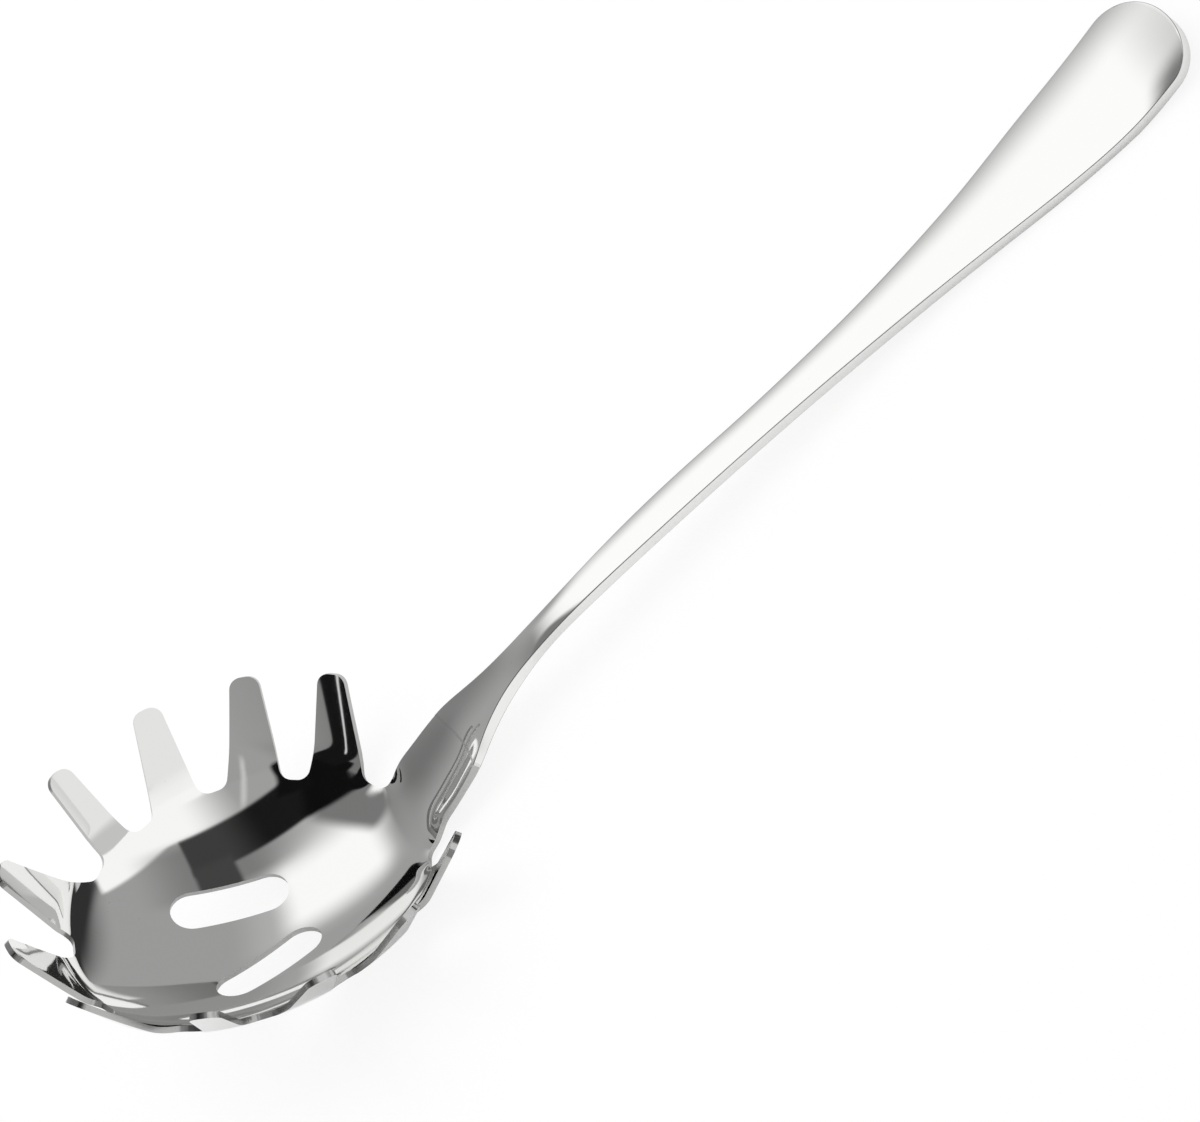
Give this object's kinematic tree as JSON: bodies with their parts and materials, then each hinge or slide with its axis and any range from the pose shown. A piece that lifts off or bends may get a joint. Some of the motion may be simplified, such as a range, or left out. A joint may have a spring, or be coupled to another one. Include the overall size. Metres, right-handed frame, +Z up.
{
  "type": "pasta server",
  "caption": "Pasta server: a pressed round bowl with upright fingers round its rim and slots through its floor, joined by a channelled shoulder to a slim handle that widens to a rounded paddle.",
  "frame": {"origin": "on the table that the server lies on, under the middle of its length and width", "axes": "+X from the bowl to the end of the handle, +Y to the left of someone who holds the handle, +Z up from the table, out of the bowl's mouth"},
  "size_m": [0.3346, 0.1122, 0.0625],
  "materials": {
    "pressed_steel": "polished",
    "handle_steel": "polished",
    "weld_steel": "ground flush and polished"
  },
  "bodies": {
    "root": {"bowl": "pressed_steel", "handle": "handle_steel", "weld_seam": "weld_steel"}
  },
  "joints": []
}
